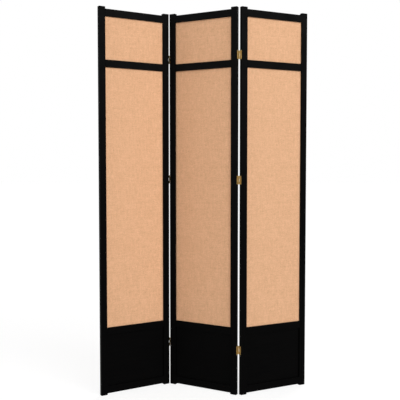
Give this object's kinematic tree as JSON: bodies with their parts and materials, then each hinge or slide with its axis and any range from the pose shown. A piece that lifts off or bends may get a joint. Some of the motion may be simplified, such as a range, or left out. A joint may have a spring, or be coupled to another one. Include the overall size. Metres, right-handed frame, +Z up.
{
  "type": "folding screen",
  "caption": "Folding screen of tall framed panels with woven cloth above solid kick panels, joined edge to edge by butt hinges so that it stands in a zigzag and folds flat.",
  "frame": {"origin": "middle of the standing screen's footprint box, on the floor", "axes": "+Z up; +X to the right and +Y away from a viewer who faces the front"},
  "size_m": [1.1644, 0.2418, 2.134],
  "materials": {
    "black_lacquer": "black satin lacquer over wood",
    "cloth": "plain woven jute, tan",
    "brass": "rolled brass, dulled, browned on the barrels",
    "dowel_wood": "bare hardwood"
  },
  "bodies": {
    "middle_panel": {"left_fold_low_hinge_pin": "brass", "left_fold_low_hinge_right_leaf": "brass", "left_fold_middle_hinge_pin": "brass", "left_fold_middle_hinge_right_leaf": "brass", "left_fold_right_leaf_screws": "brass", "left_fold_top_hinge_pin": "brass", "left_fold_top_hinge_right_leaf": "brass", "middle_panel_bottom_rail": "black_lacquer", "middle_panel_dowels": "dowel_wood", "middle_panel_kick_panel": "black_lacquer", "middle_panel_left_stile": "black_lacquer", "middle_panel_lower_rail": "black_lacquer", "middle_panel_main_cloth": "cloth", "middle_panel_main_cloth_beads": "black_lacquer", "middle_panel_middle_rail": "black_lacquer", "middle_panel_right_stile": "black_lacquer", "middle_panel_top_rail": "black_lacquer", "middle_panel_upper_cloth": "cloth", "middle_panel_upper_cloth_beads": "black_lacquer", "right_fold_left_leaf_screws": "brass", "right_fold_low_hinge_left_leaf": "brass", "right_fold_low_hinge_pin": "brass", "right_fold_middle_hinge_left_leaf": "brass", "right_fold_middle_hinge_pin": "brass", "right_fold_top_hinge_left_leaf": "brass", "right_fold_top_hinge_pin": "brass"},
    "left_panel": {"left_fold_left_leaf_screws": "brass", "left_fold_low_hinge_left_leaf": "brass", "left_fold_middle_hinge_left_leaf": "brass", "left_fold_top_hinge_left_leaf": "brass", "left_panel_bottom_rail": "black_lacquer", "left_panel_dowels": "dowel_wood", "left_panel_kick_panel": "black_lacquer", "left_panel_left_stile": "black_lacquer", "left_panel_lower_rail": "black_lacquer", "left_panel_main_cloth": "cloth", "left_panel_main_cloth_beads": "black_lacquer", "left_panel_middle_rail": "black_lacquer", "left_panel_right_stile": "black_lacquer", "left_panel_top_rail": "black_lacquer", "left_panel_upper_cloth": "cloth", "left_panel_upper_cloth_beads": "black_lacquer"},
    "right_panel": {"right_fold_low_hinge_right_leaf": "brass", "right_fold_middle_hinge_right_leaf": "brass", "right_fold_right_leaf_screws": "brass", "right_fold_top_hinge_right_leaf": "brass", "right_panel_bottom_rail": "black_lacquer", "right_panel_dowels": "dowel_wood", "right_panel_kick_panel": "black_lacquer", "right_panel_left_stile": "black_lacquer", "right_panel_lower_rail": "black_lacquer", "right_panel_main_cloth": "cloth", "right_panel_main_cloth_beads": "black_lacquer", "right_panel_middle_rail": "black_lacquer", "right_panel_right_stile": "black_lacquer", "right_panel_top_rail": "black_lacquer", "right_panel_upper_cloth": "cloth", "right_panel_upper_cloth_beads": "black_lacquer"}
  },
  "joints": [
    {"name": "left_fold", "type": "hinge", "parent": "middle_panel", "child": "left_panel", "pos_m": [-0.20283, 0.10113, 1.194], "axis": [0, 0, 1], "range_deg": [-61.5, 118.5]},
    {"name": "right_fold", "type": "hinge", "parent": "middle_panel", "child": "right_panel", "pos_m": [0.18577, -0.0924, 1.194], "axis": [0, 0, 1], "range_deg": [-56.9, 123.1]}
  ]
}
